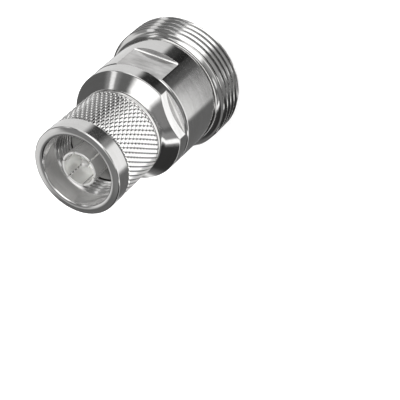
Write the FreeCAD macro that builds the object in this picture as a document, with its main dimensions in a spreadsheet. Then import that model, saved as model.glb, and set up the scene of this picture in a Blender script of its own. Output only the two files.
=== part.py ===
import FreeCAD, Part
import math
import os
import re

import Sketcher

# Straight coaxial adapter: a knurled-nut plug at the top, a large threaded jack at the bottom.
# The part stands on the jack's end face. Z is the axis and points out of the plug's mouth.

# Driving dimensions in millimetres. Every radius is measured from the Z axis.
DIMENSIONS = {
    # jack body
    "jack_thread_radius": 14.5,
    "jack_thread_length": 7.3,
    "jack_thread_lead": 0.6,
    "jack_thread_back_chamfer": 0.3,
    "jack_thread_pitch": 1.5,
    "jack_thread_run_in": 0.9,
    "jack_thread_run_out": 0.675,
    "jack_thread_height": 0.92,
    "jack_thread_mouth_width": 1.31,
    "jack_thread_root_width": 0.25,
    "jack_flare_radius": 1.0,
    "jack_barrel_radius": 12.9,
    "jack_body_length": 20.9,
    "jack_front_chamfer": 0.4,
    "jack_flat_depth": 1.25,
    "jack_flat_length": 7.8,
    "jack_line_radius": 8.0,
    "jack_line_length": 2.4,
    "jack_mouth_step": 1.1,
    "jack_mouth_depth": 8.6,
    "jack_mouth_chamfer": 0.3,
    # bead and centre socket of the jack
    "jack_bead_step": 1.0,
    "jack_bead_length": 4.0,
    "jack_bead_bore_radius": 1.6,
    "socket_bore_radius": 3.5,
    "socket_wall": 0.8,
    "socket_bore_depth": 7.9,
    "socket_recess": 1.6,
    "socket_mouth_chamfer": 0.3,
    "socket_neck_radius": 3.5,
    "socket_neck_length": 1.2,
    "socket_slot_width": 0.4,
    "socket_slot_length": 6.5,
    # screwed joint between the two bodies, with its seal
    "joint_step": 1.0,
    "joint_clearance": 0.03,
    "seal_section_radius": 0.5,
    "seal_groove_width": 1.2,
    "seal_groove_depth_below_face": 1.7,
    # plug body
    "band_radius": 12.85,
    "band_length": 3.2,
    "cone_length": 2.84,
    "cone_top_radius": 9.95,
    "plug_flat_depth": 1.1,
    "plug_flat_start": 0.9,
    "plug_flat_angle": 30.2,
    "shank_radius": 6.9,
    "shank_length": 5.96,
    "plug_line_radius": 3.5,
    "plug_seat_step": 1.5,
    "plug_seat_depth": 6.4,
    "plug_bead_length": 3.0,
    "plug_sleeve_recess": 0.4,
    # outer contact, gasket and pin of the plug
    "contact_wall": 0.5,
    "contact_length": 9.0,
    "contact_tip_chamfer": 0.15,
    "contact_slot_width": 0.3,
    "contact_slot_length": 5.5,
    "contact_slot_angle": 49.0,
    "gasket_length": 1.5,
    "gasket_clearance": 0.05,
    "gasket_width": 2.55,
    "gasket_chamfer": 0.2,
    "pin_radius": 0.825,
    "pin_recess": 1.7,
    "pin_length": 3.6,
    "pin_tip_radius": 0.4,
    "pin_tip_length": 0.6,
    "centre_line_radius": 1.52,
    "pin_base_radius": 2.2,
    "pin_base_length": 1.5,
    "pin_tail_radius": 1.0,
    "pin_tail_length": 3.2,
    # coupling nut
    "nut_rear_gap": 0.1,
    "nut_mouth_lead": 1.0,
    "nut_wall": 2.05,
    "nut_collar_length": 4.0,
    "nut_collar_back_chamfer": 0.15,
    "nut_front_chamfer": 0.3,
    "nut_knurl_step": 0.07,
    "nut_knurl_depth": 0.42,
    "nut_knurl_seat_depth": 0.3,
    "nut_knurl_relief_width": 0.12,
    "nut_knurl_relief_depth": 0.05,
    "nut_rim_step": 0.28,
    "nut_rim_length": 0.76,
    "nut_rim_chamfer": 0.2,
    "nut_mouth_radius": 8.15,
    "nut_mouth_depth": 4.7,
    "nut_mouth_chamfer": 0.25,
    "nut_thread_height": 0.73,
    "nut_thread_gap": 0.3,
    "nut_relief_step": 0.05,
    "nut_relief_drop": 0.8,
    "nut_running_clearance": 0.08,
    # split ring that holds the nut
    "ring_height": 2.06,
    "ring_thickness": 0.9,
    "ring_seat_depth": 0.6,
    "ring_width": 1.45,
    "ring_play": 0.1,
    "ring_gap_width": 1.6,
    # how far a cut runs past the wall it goes through
    "cut_margin": 1.0,
}

# How many like cuts go around the axis.
CONTACT_SLOT_COUNT = 6
SOCKET_SLOT_COUNT = 4
WRENCH_FLAT_COUNT = 2
KNURL_START_COUNT = 57
KNURL_ROW_COUNT = 13

# A quarter round drawn as three straight steps: how far its two inner corners lie from its ends,
# as shares of its radius.
QUARTER_ROUND_NEAR = "(1 - cos(30))"
QUARTER_ROUND_FAR = "(1 - sin(30))"
# Half a side of an eight-sided section, as a share of the distance from its middle to the side.
EIGHT_SIDED_HALF = "tan(22.5)"
# The flare takes no more than this share of the step behind the thread.
FLARE_LARGEST_SHARE = "0.9"
# A distance shorter than this, in millimetres, is none.
NO_DISTANCE = 1e-9

# Radii that follow from a bore or a seat and the step or wall beside it.
JACK_MOUTH_RADIUS = "jack_line_radius + jack_mouth_step"
JACK_BEAD_RADIUS = "jack_line_radius + jack_bead_step"
JOINT_RADIUS = JACK_BEAD_RADIUS + " + joint_step"
SOCKET_RADIUS = "socket_bore_radius + socket_wall"
PLUG_SEAT_RADIUS = "plug_line_radius + plug_seat_step"
CONTACT_RADIUS = "plug_line_radius + contact_wall"
GASKET_BORE_RADIUS = PLUG_SEAT_RADIUS + " + gasket_clearance"
GASKET_RADIUS = GASKET_BORE_RADIUS + " + gasket_width"
RING_INNER_RADIUS = "shank_radius - ring_seat_depth"
RING_OUTER_RADIUS = RING_INNER_RADIUS + " + ring_width"
COLLAR_RADIUS = "nut_mouth_radius + nut_wall"
KNURL_RADIUS = COLLAR_RADIUS + " - nut_knurl_step"
KNURL_VALLEY_RADIUS = KNURL_RADIUS + " - nut_knurl_depth"
KNURL_CORE_RADIUS = KNURL_VALLEY_RADIUS + " - nut_knurl_relief_depth"
KNURL_SEAT_RADIUS = KNURL_CORE_RADIUS + " - nut_knurl_seat_depth"
RIM_RADIUS = KNURL_RADIUS + " - nut_rim_step"
NUT_THREAD_RADIUS = "nut_mouth_radius - nut_thread_height"
NUT_RELIEF_RADIUS = "nut_mouth_radius - nut_relief_step"

# Levels up the axis, each worked out from the driving dimensions.
JACK_SHOULDER = "jack_mouth_depth + jack_line_length"
BEAD_TOP = JACK_SHOULDER + " + jack_bead_length"
JOINT_FACE = "jack_body_length"
BAND_TOP = JOINT_FACE + " + band_length"
CONE_TOP = BAND_TOP + " + cone_length"
SHANK_TOP = CONE_TOP + " + shank_length"
PLUG_SEAT = SHANK_TOP + " - plug_seat_depth"
PLUG_BEAD_TOP = PLUG_SEAT + " + plug_bead_length"
GASKET_TOP = SHANK_TOP + " + gasket_length"
CONTACT_TIP = GASKET_TOP + " + contact_length"
PIN_TIP = CONTACT_TIP + " - pin_recess"
PIN_SHOULDER = PIN_TIP + " - pin_length"
PLUG_SLEEVE_TOP = PIN_SHOULDER + " - plug_sleeve_recess"
SOCKET_SHOULDER = JACK_SHOULDER
SOCKET_FLOOR = "socket_recess + socket_bore_depth"
NUT_REAR = CONE_TOP + " + nut_rear_gap"
NUT_MOUTH = CONTACT_TIP + " + nut_mouth_lead"
NUT_STEP = NUT_MOUTH + " - nut_mouth_depth"
NUT_THREAD_END = GASKET_TOP + " + nut_thread_gap"
NUT_FLANGE_TOP = SHANK_TOP + " - nut_relief_drop"
COLLAR_BACK = NUT_MOUTH + " - nut_collar_length"
RIM_TOP = NUT_REAR + " + nut_rim_length"
KNURL_BOTTOM = RIM_TOP + " + nut_knurl_relief_width"
KNURL_TOP = COLLAR_BACK + " - nut_knurl_relief_width"
RING_BOTTOM = CONE_TOP + " + ring_height"
RING_TOP = RING_BOTTOM + " + ring_thickness"
SEAL_HEIGHT = JOINT_FACE + " - seal_groove_depth_below_face"

SHEET_NAME = "Dims"

doc = FreeCAD.newDocument("adapter")


def make_sheet():
    """The spreadsheet that holds every driving dimension under its own alias."""
    sheet = doc.addObject("Spreadsheet::Sheet", SHEET_NAME)
    for row, (alias, value) in enumerate(DIMENSIONS.items(), start=1):
        sheet.set("A%d" % row, alias)
        sheet.set("B%d" % row, str(value))
        sheet.setAlias("B%d" % row, alias)
    doc.recompute()
    return sheet


sheet = make_sheet()


def bound(words):
    """Turn a sum of aliases into an expression that reads the sheet."""
    return re.sub(r"\b[a-z][a-z_]+\b(?!\()", lambda word: SHEET_NAME + "." + word.group(0), words)


def value(words):
    """The present value of a sum of aliases, in millimetres or degrees."""
    result = sheet.evalExpression(bound(words))
    return float(getattr(result, "Value", result))


def origin_feature(body, role):
    """One of the planes or axes that a body owns, found by its role."""
    for feature in body.Origin.OriginFeatures:
        if feature.Role == role:
            return feature
    raise ValueError(role)


def pin_corner(sketch, line, name, across, up):
    """Bind the start of a line to its distances from the sketch's origin."""
    places = (("DistanceX", "_across", across, -2), ("DistanceY", "_up", up, -1))
    for kind, ending, words, axis in places:
        size = value(words)
        if abs(size) < NO_DISTANCE:
            sketch.addConstraint(Sketcher.Constraint("PointOnObject", line, 1, axis))
            continue
        index = sketch.addConstraint(Sketcher.Constraint(kind, -1, 1, line, 1, size))
        sketch.renameConstraint(index, name + ending)
        sketch.setExpression("Constraints." + name + ending, bound(words))


def draw_outline(sketch, corners):
    """A closed outline through corners, each given as two sums of aliases."""
    points = [FreeCAD.Vector(value(across), value(up), 0) for across, up in corners]
    count = len(points)
    for index in range(count):
        segment = Part.LineSegment(points[index], points[(index + 1) % count])
        sketch.addGeometry(segment, False)
    for index in range(count):
        after = (index + 1) % count
        sketch.addConstraint(Sketcher.Constraint("Coincident", index, 2, after, 1))
    for index, (across, up) in enumerate(corners):
        pin_corner(sketch, index, "corner%d" % index, across, up)


def turned_body(label, corners):
    """A body turned about Z from (radius, height) corners."""
    body = doc.addObject("PartDesign::Body", label)
    body.Label = label
    sketch = body.newObject("Sketcher::SketchObject", label + "_profile")
    sketch.AttachmentSupport = [(origin_feature(body, "XZ_Plane"), "")]
    sketch.MapMode = "FlatFace"
    draw_outline(sketch, corners)
    turn = body.newObject("PartDesign::Revolution", label + "_turn")
    turn.Profile = sketch
    turn.ReferenceAxis = (sketch, ["V_Axis"])
    turn.Angle = 360
    body.Tip = turn
    doc.recompute()
    return body


def cut_around(body, label, corners, bottom, height, count, angle="0"):
    """Cut an upright pocket from bottom to bottom + height, repeated about the axis."""
    before = body.Shape.Volume
    sketch = body.newObject("Sketcher::SketchObject", label + "_outline")
    sketch.AttachmentSupport = [(origin_feature(body, "XY_Plane"), "")]
    sketch.MapMode = "FlatFace"
    turn = FreeCAD.Rotation(FreeCAD.Vector(0, 0, 1), value(angle))
    sketch.AttachmentOffset = FreeCAD.Placement(FreeCAD.Vector(0, 0, value(bottom)), turn)
    sketch.setExpression("AttachmentOffset.Base.z", bound(bottom))
    if angle != "0":
        sketch.setExpression("AttachmentOffset.Rotation.Angle", bound(angle))
    draw_outline(sketch, corners)
    pocket = body.newObject("PartDesign::Pocket", label)
    pocket.Profile = sketch
    pocket.Reversed = True
    pocket.Length = value(height)
    pocket.setExpression("Length", bound(height))
    body.Tip = pocket
    doc.recompute()
    if count > 1:
        pattern = body.newObject("PartDesign::PolarPattern", label + "_around")
        pattern.Originals = [pocket]
        pattern.Axis = (sketch, ["N_Axis"])
        pattern.Angle = 360
        pattern.Occurrences = count
        body.Tip = pattern
        doc.recompute()
    if not body.Shape.Volume < before:
        raise ValueError(label + " cut nothing")


def cut_outer_thread(body, label, crest, root, pitch, mouth_width, root_width, bottom, height):
    """Cut a right-hand V groove that climbs around a wall, from one level up by a height."""
    before = body.Shape.Volume
    sketch = body.newObject("Sketcher::SketchObject", label + "_section")
    sketch.AttachmentSupport = [(origin_feature(body, "XZ_Plane"), "")]
    sketch.MapMode = "FlatFace"
    outside = crest + " + cut_margin / 2"
    half_mouth = mouth_width + " / 2"
    half_root = root_width + " / 2"
    draw_outline(sketch, [
        (outside, bottom + " - " + half_mouth),
        (crest, bottom + " - " + half_mouth),
        (root, bottom + " - " + half_root),
        (root, bottom + " + " + half_root),
        (crest, bottom + " + " + half_mouth),
        (outside, bottom + " + " + half_mouth),
    ])
    helix = body.newObject("PartDesign::SubtractiveHelix", label)
    helix.Profile = sketch
    helix.ReferenceAxis = (sketch, ["V_Axis"])
    helix.Mode = "pitch-height-angle"
    helix.Pitch = value(pitch)
    helix.Height = value(height)
    helix.setExpression("Pitch", bound(pitch))
    helix.setExpression("Height", bound(height))
    body.Tip = helix
    doc.recompute()
    if not body.Shape.Volume < before:
        raise ValueError(label + " cut nothing")


def flat_outline(body_radius, depth):
    """What lies outside one wrench flat: a box that bites to a depth below the radius."""
    distance = body_radius + " - " + depth
    reach = body_radius + " + cut_margin"
    left = "0 - (" + reach + ")"
    return [(left, distance), (reach, distance), (reach, reach), (left, reach)]


def slot_outline(width, reach):
    """One radial slot, from the axis out past the wall."""
    outside = reach + " + cut_margin"
    half = width + " / 2"
    return [("0", "0 - " + half), (outside, "0 - " + half), (outside, half), ("0", half)]


def make_jack_body():
    """Round barrel with wrench flats, the outer thread and the jack's bore."""
    wall = "jack_thread_radius - jack_thread_back_chamfer - jack_barrel_radius"
    flare = "min(jack_flare_radius; (" + wall + ") * " + FLARE_LARGEST_SHARE + ")"
    near = QUARTER_ROUND_NEAR + " * " + flare
    far = QUARTER_ROUND_FAR + " * " + flare
    body = turned_body("jack_body", [
        (JACK_MOUTH_RADIUS + " + jack_mouth_chamfer", "0"),
        ("jack_thread_radius - jack_thread_lead", "0"),
        ("jack_thread_radius", "jack_thread_lead"),
        ("jack_thread_radius", "jack_thread_length - jack_thread_back_chamfer"),
        ("jack_thread_radius - jack_thread_back_chamfer", "jack_thread_length"),
        ("jack_barrel_radius + " + flare, "jack_thread_length"),
        ("jack_barrel_radius + " + far, "jack_thread_length + " + near),
        ("jack_barrel_radius + " + near, "jack_thread_length + " + far),
        ("jack_barrel_radius", "jack_thread_length + " + flare),
        ("jack_barrel_radius", JOINT_FACE + " - jack_front_chamfer"),
        ("jack_barrel_radius - jack_front_chamfer", JOINT_FACE),
        (JOINT_RADIUS, JOINT_FACE),
        (JOINT_RADIUS, BEAD_TOP),
        (JACK_BEAD_RADIUS, BEAD_TOP),
        (JACK_BEAD_RADIUS, JACK_SHOULDER),
        ("jack_line_radius", JACK_SHOULDER),
        ("jack_line_radius", "jack_mouth_depth"),
        (JACK_MOUTH_RADIUS, "jack_mouth_depth"),
        (JACK_MOUTH_RADIUS, "jack_mouth_chamfer"),
    ])
    root = "jack_thread_radius - jack_thread_height"
    bottom = "0 - jack_thread_run_in"
    height = "jack_thread_run_in + jack_thread_length + jack_thread_run_out"
    cut_outer_thread(body, "jack_thread", "jack_thread_radius", root, "jack_thread_pitch",
                     "jack_thread_mouth_width", "jack_thread_root_width", bottom, height)
    flat = flat_outline("jack_barrel_radius", "jack_flat_depth")
    bottom = JOINT_FACE + " - jack_flat_length"
    cut_around(body, "jack_flats", flat, bottom, "jack_flat_length", WRENCH_FLAT_COUNT)


def make_plug_body():
    """Band, cone and shank in one turned piece, with a spigot that screws into the jack body."""
    spigot = JOINT_RADIUS + " - joint_clearance"
    groove_floor = JOINT_RADIUS + " - seal_section_radius * 2"
    body = turned_body("plug_body", [
        ("plug_line_radius", BEAD_TOP),
        (spigot, BEAD_TOP),
        (spigot, SEAL_HEIGHT + " - seal_groove_width / 2"),
        (groove_floor, SEAL_HEIGHT + " - seal_groove_width / 2"),
        (groove_floor, SEAL_HEIGHT + " + seal_groove_width / 2"),
        (spigot, SEAL_HEIGHT + " + seal_groove_width / 2"),
        (spigot, JOINT_FACE),
        ("band_radius", JOINT_FACE),
        ("band_radius", BAND_TOP),
        ("cone_top_radius", CONE_TOP),
        ("shank_radius", CONE_TOP),
        ("shank_radius", RING_BOTTOM),
        (RING_INNER_RADIUS, RING_BOTTOM),
        (RING_INNER_RADIUS, RING_TOP),
        ("shank_radius", RING_TOP),
        ("shank_radius", SHANK_TOP),
        (PLUG_SEAT_RADIUS, SHANK_TOP),
        (PLUG_SEAT_RADIUS, PLUG_SEAT),
        ("plug_line_radius", PLUG_SEAT),
    ])
    flat = flat_outline("band_radius", "plug_flat_depth")
    bottom = JOINT_FACE + " + plug_flat_start"
    height = "band_length + cone_length - plug_flat_start"
    cut_around(body, "plug_flats", flat, bottom, height, WRENCH_FLAT_COUNT, "plug_flat_angle - 90")


def make_plug_outer_contact():
    """Slotted spring tube that carries the plug's outer current path."""
    body = turned_body("plug_outer_contact", [
        ("plug_line_radius", PLUG_BEAD_TOP),
        (PLUG_SEAT_RADIUS, PLUG_BEAD_TOP),
        (PLUG_SEAT_RADIUS, GASKET_TOP),
        (CONTACT_RADIUS, GASKET_TOP),
        (CONTACT_RADIUS, CONTACT_TIP + " - contact_tip_chamfer"),
        (CONTACT_RADIUS + " - contact_tip_chamfer", CONTACT_TIP),
        ("plug_line_radius", CONTACT_TIP),
    ])
    slot = slot_outline("contact_slot_width", CONTACT_RADIUS)
    bottom = CONTACT_TIP + " - contact_slot_length"
    cut_around(body, "contact_slots", slot, bottom, "contact_slot_length",
               CONTACT_SLOT_COUNT, "contact_slot_angle")


def make_plug_pin():
    """Centre pin, its thicker line inside the body, and the tail that screws into the socket."""
    turned_body("plug_pin", [
        ("0", BEAD_TOP + " - pin_tail_length"),
        ("pin_tail_radius", BEAD_TOP + " - pin_tail_length"),
        ("pin_tail_radius", BEAD_TOP),
        ("pin_base_radius", BEAD_TOP),
        ("pin_base_radius", BEAD_TOP + " + pin_base_length"),
        ("centre_line_radius", BEAD_TOP + " + pin_base_length"),
        ("centre_line_radius", PIN_SHOULDER),
        ("pin_radius", PIN_SHOULDER),
        ("pin_radius", PIN_TIP + " - pin_tip_length"),
        ("pin_tip_radius", PIN_TIP),
        ("0", PIN_TIP),
    ])


def make_plug_insulator():
    """Bead on the plug body's seat, with a sleeve that fills the outer contact up to the pin."""
    turned_body("plug_insulator", [
        ("centre_line_radius", PLUG_SEAT),
        (PLUG_SEAT_RADIUS, PLUG_SEAT),
        (PLUG_SEAT_RADIUS, PLUG_BEAD_TOP),
        ("plug_line_radius", PLUG_BEAD_TOP),
        ("plug_line_radius", PLUG_SLEEVE_TOP),
        ("centre_line_radius", PLUG_SLEEVE_TOP),
    ])


def make_mating_gasket():
    """Rubber ring that lies on the shank's end, around the root of the outer contact."""
    turned_body("mating_gasket", [
        (GASKET_BORE_RADIUS, SHANK_TOP),
        (GASKET_RADIUS, SHANK_TOP),
        (GASKET_RADIUS, GASKET_TOP + " - gasket_chamfer"),
        (GASKET_RADIUS + " - gasket_chamfer", GASKET_TOP),
        (GASKET_BORE_RADIUS, GASKET_TOP),
    ])


def make_jack_insulator():
    """Bead clamped between the jack body's shoulder and the plug body's spigot."""
    turned_body("jack_insulator", [
        ("jack_bead_bore_radius", JACK_SHOULDER),
        (JACK_BEAD_RADIUS, JACK_SHOULDER),
        (JACK_BEAD_RADIUS, BEAD_TOP),
        ("jack_bead_bore_radius", BEAD_TOP),
    ])


def make_jack_socket():
    """Slotted centre socket, with a neck through the bead and a hole for the pin's tail."""
    tail_floor = BEAD_TOP + " - pin_tail_length"
    body = turned_body("jack_socket", [
        ("0", SOCKET_FLOOR),
        ("socket_bore_radius", SOCKET_FLOOR),
        ("socket_bore_radius", "socket_recess + socket_mouth_chamfer"),
        ("socket_bore_radius + socket_mouth_chamfer", "socket_recess"),
        (SOCKET_RADIUS + " - socket_mouth_chamfer / 2", "socket_recess"),
        (SOCKET_RADIUS, "socket_recess + socket_mouth_chamfer / 2"),
        (SOCKET_RADIUS, SOCKET_SHOULDER + " - socket_neck_length"),
        ("socket_neck_radius", SOCKET_SHOULDER + " - socket_neck_length"),
        ("socket_neck_radius", SOCKET_SHOULDER),
        ("jack_bead_bore_radius", SOCKET_SHOULDER),
        ("jack_bead_bore_radius", BEAD_TOP),
        ("pin_tail_radius", BEAD_TOP),
        ("pin_tail_radius", tail_floor),
        ("0", tail_floor),
    ])
    slot = slot_outline("socket_slot_width", SOCKET_RADIUS)
    cut_around(body, "socket_slots", slot, "socket_recess", "socket_slot_length", SOCKET_SLOT_COUNT)


def make_body_o_ring():
    """Seal in the spigot's groove, with its round section drawn as an eight-sided one."""
    across = JOINT_RADIUS + " - seal_section_radius"
    long_way = "seal_section_radius"
    short_way = "seal_section_radius * " + EIGHT_SIDED_HALF
    turned_body("body_o_ring", [
        (across + " - " + short_way, SEAL_HEIGHT + " - " + long_way),
        (across + " + " + short_way, SEAL_HEIGHT + " - " + long_way),
        (across + " + " + long_way, SEAL_HEIGHT + " - " + short_way),
        (across + " + " + long_way, SEAL_HEIGHT + " + " + short_way),
        (across + " + " + short_way, SEAL_HEIGHT + " + " + long_way),
        (across + " - " + short_way, SEAL_HEIGHT + " + " + long_way),
        (across + " - " + long_way, SEAL_HEIGHT + " + " + short_way),
        (across + " - " + long_way, SEAL_HEIGHT + " - " + short_way),
    ])


def make_nut_retaining_ring():
    """Split ring, half in the shank's groove and half in the nut's."""
    body = turned_body("nut_retaining_ring", [
        (RING_INNER_RADIUS, RING_BOTTOM),
        (RING_OUTER_RADIUS, RING_BOTTOM),
        (RING_OUTER_RADIUS, RING_TOP),
        (RING_INNER_RADIUS, RING_TOP),
    ])
    gap = slot_outline("ring_gap_width", RING_OUTER_RADIUS)
    cut_around(body, "ring_gap", gap, RING_BOTTOM, "ring_thickness", 1)


def make_nut_blank():
    """The nut before knurling: collar, rim, bore steps and the retaining ring's groove."""
    bore = "shank_radius + nut_running_clearance"
    groove = RING_OUTER_RADIUS + " + ring_play"
    return turned_body("nut_blank", [
        (bore, NUT_REAR),
        (RIM_RADIUS + " - nut_rim_chamfer", NUT_REAR),
        (RIM_RADIUS, NUT_REAR + " + nut_rim_chamfer"),
        (RIM_RADIUS, RIM_TOP),
        (KNURL_CORE_RADIUS, RIM_TOP),
        (KNURL_CORE_RADIUS, COLLAR_BACK),
        (COLLAR_RADIUS + " - nut_collar_back_chamfer", COLLAR_BACK),
        (COLLAR_RADIUS, COLLAR_BACK + " + nut_collar_back_chamfer"),
        (COLLAR_RADIUS, NUT_MOUTH + " - nut_front_chamfer"),
        (COLLAR_RADIUS + " - nut_front_chamfer", NUT_MOUTH),
        ("nut_mouth_radius + nut_mouth_chamfer", NUT_MOUTH),
        ("nut_mouth_radius", NUT_MOUTH + " - nut_mouth_chamfer"),
        ("nut_mouth_radius", NUT_STEP),
        (NUT_THREAD_RADIUS, NUT_STEP),
        (NUT_THREAD_RADIUS, NUT_THREAD_END),
        (NUT_RELIEF_RADIUS, NUT_THREAD_END),
        (NUT_RELIEF_RADIUS, NUT_FLANGE_TOP),
        (bore, NUT_FLANGE_TOP),
        (bore, RING_TOP + " + ring_play"),
        (groove, RING_TOP + " + ring_play"),
        (groove, RING_BOTTOM + " - ring_play"),
        (bore, RING_BOTTOM + " - ring_play"),
    ])


def knurl_net():
    """Rows of corners of the diamond net: crests and valleys alternate both ways."""
    radii = (value(KNURL_RADIUS), value(KNURL_VALLEY_RADIUS))
    bottom = value(KNURL_BOTTOM)
    row_height = (value(KNURL_TOP) - bottom) / KNURL_ROW_COUNT
    net = []
    for row in range(KNURL_ROW_COUNT + 1):
        corners = []
        for column in range(2 * KNURL_START_COUNT):
            radius = radii[(column + row) % 2]
            angle = math.pi * column / KNURL_START_COUNT
            across = radius * math.cos(angle)
            along = radius * math.sin(angle)
            corners.append(FreeCAD.Vector(across, along, bottom + row * row_height))
        net.append(corners)
    return net


def flat_face(points):
    """A flat face inside a closed run of points."""
    return Part.Face(Part.makePolygon(points + points[:1]))


def knurl_cell(net, column, row):
    """Two flanks that meet in the groove across one cell of the diamond net."""
    after = (column + 1) % len(net[row])
    low_left = net[row][column]
    low_right = net[row][after]
    high_left = net[row + 1][column]
    high_right = net[row + 1][after]
    if (column + row) % 2 == 0:
        flanks = ([low_left, low_right, high_left], [high_right, high_left, low_right])
    else:
        flanks = ([low_right, high_right, low_left], [high_left, low_left, high_right])
    return [flat_face(flank) for flank in flanks]


def make_nut_knurl():
    """Ring of diamonds, left standing between two crossing sets of V grooves."""
    net = knurl_net()
    faces = [flat_face(net[0]), flat_face(net[-1])]
    for row in range(KNURL_ROW_COUNT):
        for column in range(2 * KNURL_START_COUNT):
            faces.extend(knurl_cell(net, column, row))
    shell = Part.makeShell(faces)
    shell.sewShape()
    bottom = value(KNURL_BOTTOM)
    height = value(KNURL_TOP) - bottom
    core = Part.makeCylinder(value(KNURL_SEAT_RADIUS), height, FreeCAD.Vector(0, 0, bottom))
    knurl = doc.addObject("Part::Feature", "nut_knurl")
    knurl.Label = "nut_knurl"
    knurl.Shape = Part.makeSolid(shell).cut(core)
    return knurl


def make_coupling_nut():
    """The knurled ring joined to the turned nut, as one piece."""
    nut = doc.addObject("Part::Fuse", "coupling_nut")
    nut.Label = "coupling_nut"
    nut.Base = make_nut_blank()
    nut.Tool = make_nut_knurl()


NODES = [
    "jack_body",
    "plug_body",
    "plug_outer_contact",
    "plug_pin",
    "plug_insulator",
    "mating_gasket",
    "jack_insulator",
    "jack_socket",
    "body_o_ring",
    "nut_retaining_ring",
    "coupling_nut",
]


def check_document():
    """Stop if any object failed or any node's shape is missing or broken."""
    for thing in doc.Objects:
        if "Invalid" in thing.State or "Error" in thing.State:
            raise ValueError(thing.Label + " failed to build")
    for node in NODES:
        shape = doc.getObjectsByLabel(node)[0].Shape
        if shape.isNull() or not shape.isValid():
            raise ValueError(node + " has no valid shape")


def main():
    make_jack_body()
    make_plug_body()
    make_plug_outer_contact()
    make_plug_pin()
    make_plug_insulator()
    make_mating_gasket()
    make_jack_insulator()
    make_jack_socket()
    make_body_o_ring()
    make_nut_retaining_ring()
    make_coupling_nut()
    doc.recompute()
    check_document()
    os.makedirs("parts", exist_ok=True)
    for node in NODES:
        shape = doc.getObjectsByLabel(node)[0].Shape
        shape.exportStep("parts/" + node + ".step")
        print(node, len(shape.Solids), round(shape.Volume, 3))


main()
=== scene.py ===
import math

import bmesh
import bpy
import numpy as np
from mathutils import Matrix, Vector


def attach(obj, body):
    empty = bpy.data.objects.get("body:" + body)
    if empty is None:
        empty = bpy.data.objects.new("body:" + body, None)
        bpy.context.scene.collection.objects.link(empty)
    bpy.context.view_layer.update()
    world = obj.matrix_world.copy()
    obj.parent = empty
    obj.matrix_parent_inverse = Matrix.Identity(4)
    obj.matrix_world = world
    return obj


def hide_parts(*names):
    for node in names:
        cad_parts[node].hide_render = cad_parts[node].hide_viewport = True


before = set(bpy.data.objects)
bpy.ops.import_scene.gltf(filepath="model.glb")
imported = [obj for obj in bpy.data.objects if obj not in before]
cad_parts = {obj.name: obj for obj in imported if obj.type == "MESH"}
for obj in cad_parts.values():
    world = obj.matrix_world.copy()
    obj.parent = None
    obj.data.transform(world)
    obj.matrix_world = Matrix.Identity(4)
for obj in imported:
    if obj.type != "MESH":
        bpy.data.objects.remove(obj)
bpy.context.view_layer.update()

MM = 0.001
TURN = 2 * math.pi
DEGREES = 360 / TURN

# Levels up the axis and radii, in millimetres, as in the solids.
THREAD_END = 7.3
JACK_FACE = 20.9
BAND_TOP = 24.1
CONE_TOP = 26.94
SHANK_TOP = 32.9
GASKET_TOP = 34.4
CONTACT_TIP = 43.4
NUT_REAR = 27.04
RIM_TOP = 27.8
COLLAR_BACK = 40.4
NUT_MOUTH = 44.4
BARREL_RADIUS = 12.9
BAND_RADIUS = 12.85
CONE_END_RADIUS = 9.95

# Wrench flats: distance from the axis, and the direction of the first of two.
JACK_FLAT_DISTANCE = 11.65
JACK_FLAT_ANGLE = 90.0
JACK_FLAT_BOTTOM = 13.1
PLUG_FLAT_DISTANCE = 11.75
PLUG_FLAT_ANGLE = 30.2
PLUG_FLAT_BOTTOM = 21.8

# Columns of a wall with flats: how many there are on each flat and between them, how close they are at the
# edges of a flat, and the least radius, in flat distances, that spreads them.
FLAT_COLUMNS = 24
SIDE_COLUMNS = 56
EDGE_STEP = 0.035
SPREAD_RADIUS = 1.0008

# How far the edges of a flat are rounded, and the bevel over its ledge.
EDGE_SOFTNESS = 0.03
LEDGE_BEVEL = 0.04

# Threads. The shares are those of half a pitch that lie flat at the largest and at the smallest radius.
JACK_THREAD = {"pitch": 1.5, "per_pitch": 18, "crest": 14.5, "depth": 0.92, "crest_share": 0.07,
               "root_share": 0.1}
JACK_THREAD_START = math.radians(36.0)
JACK_THREAD_LEAD = 13.9
JACK_THREAD_BACK = 14.2
NUT_THREAD = {"pitch": 1.058, "per_pitch": 14, "crest": 7.94, "depth": 0.52, "crest_share": 0.16,
              "root_share": 0.16}
NUT_THREAD_BOTTOM = 34.7
NUT_THREAD_TOP = 39.7
NUT_THREAD_MINOR = 7.42
NUT_THREAD_LEAD = 0.5
NUT_LEAD_RADIUS = 7.95

# What is painted apart inside the nut: the faces nearer to the axis than this radius, from the first level
# up, and differently again from the second level up, past the thread.
NUT_PAINT_RADIUS = 8.16
NUT_PAINT_BOTTOM = 32.0
NUT_THREAD_PAINT_END = 39.72

# Diamond knurl. It fades in over a few rows at both ends, from a share of one row.
KNURL_STARTS = 57
KNURL_ROWS = 13
KNURL_SPLIT = 4
KNURL_END_ROWS = 3.0
KNURL_END_SHARE = 0.35
KNURL_BOTTOM = 27.92
KNURL_TOP = 40.28
KNURL_CREST = 10.13
KNURL_DEPTH = 0.42
# across each set of grooves, from one groove's bottom to the next: places, and shares of the depth there
KNURL_LEAN = ((0.0, 0.125, 0.875, 1.0), (0.0, 0.46, 0.06, 0.0))
KNURL_GROOVE = ((0.0, 0.25, 0.875, 1.0), (0.0, 0.58, 0.5, 0.0))

# Painted shade in the knurl: its pits are painted dark, and one set of its grooves half as dark.
# These are shares of the way from one groove to the next: where the pits begin, and how far pits and grooves
# reach before the unshaded metal.
PIT_SHADE_TONE = (0.02, 0.02, 0.02)
PIT_SHADE_FROM = (0.52, 0.68)
PIT_SHADE_ACROSS = (0.13, 0.24)
GROOVE_SHADE_ACROSS = (0.05, 0.16)
GROOVE_SHADE_SHARE = 0.5
# the radii, and the fade below the knurl, that keep this painted shade on the knurl
KNURL_SHADE_SEAT = (9.5, 9.6)
KNURL_SHADE_FADE = 0.1

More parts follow.
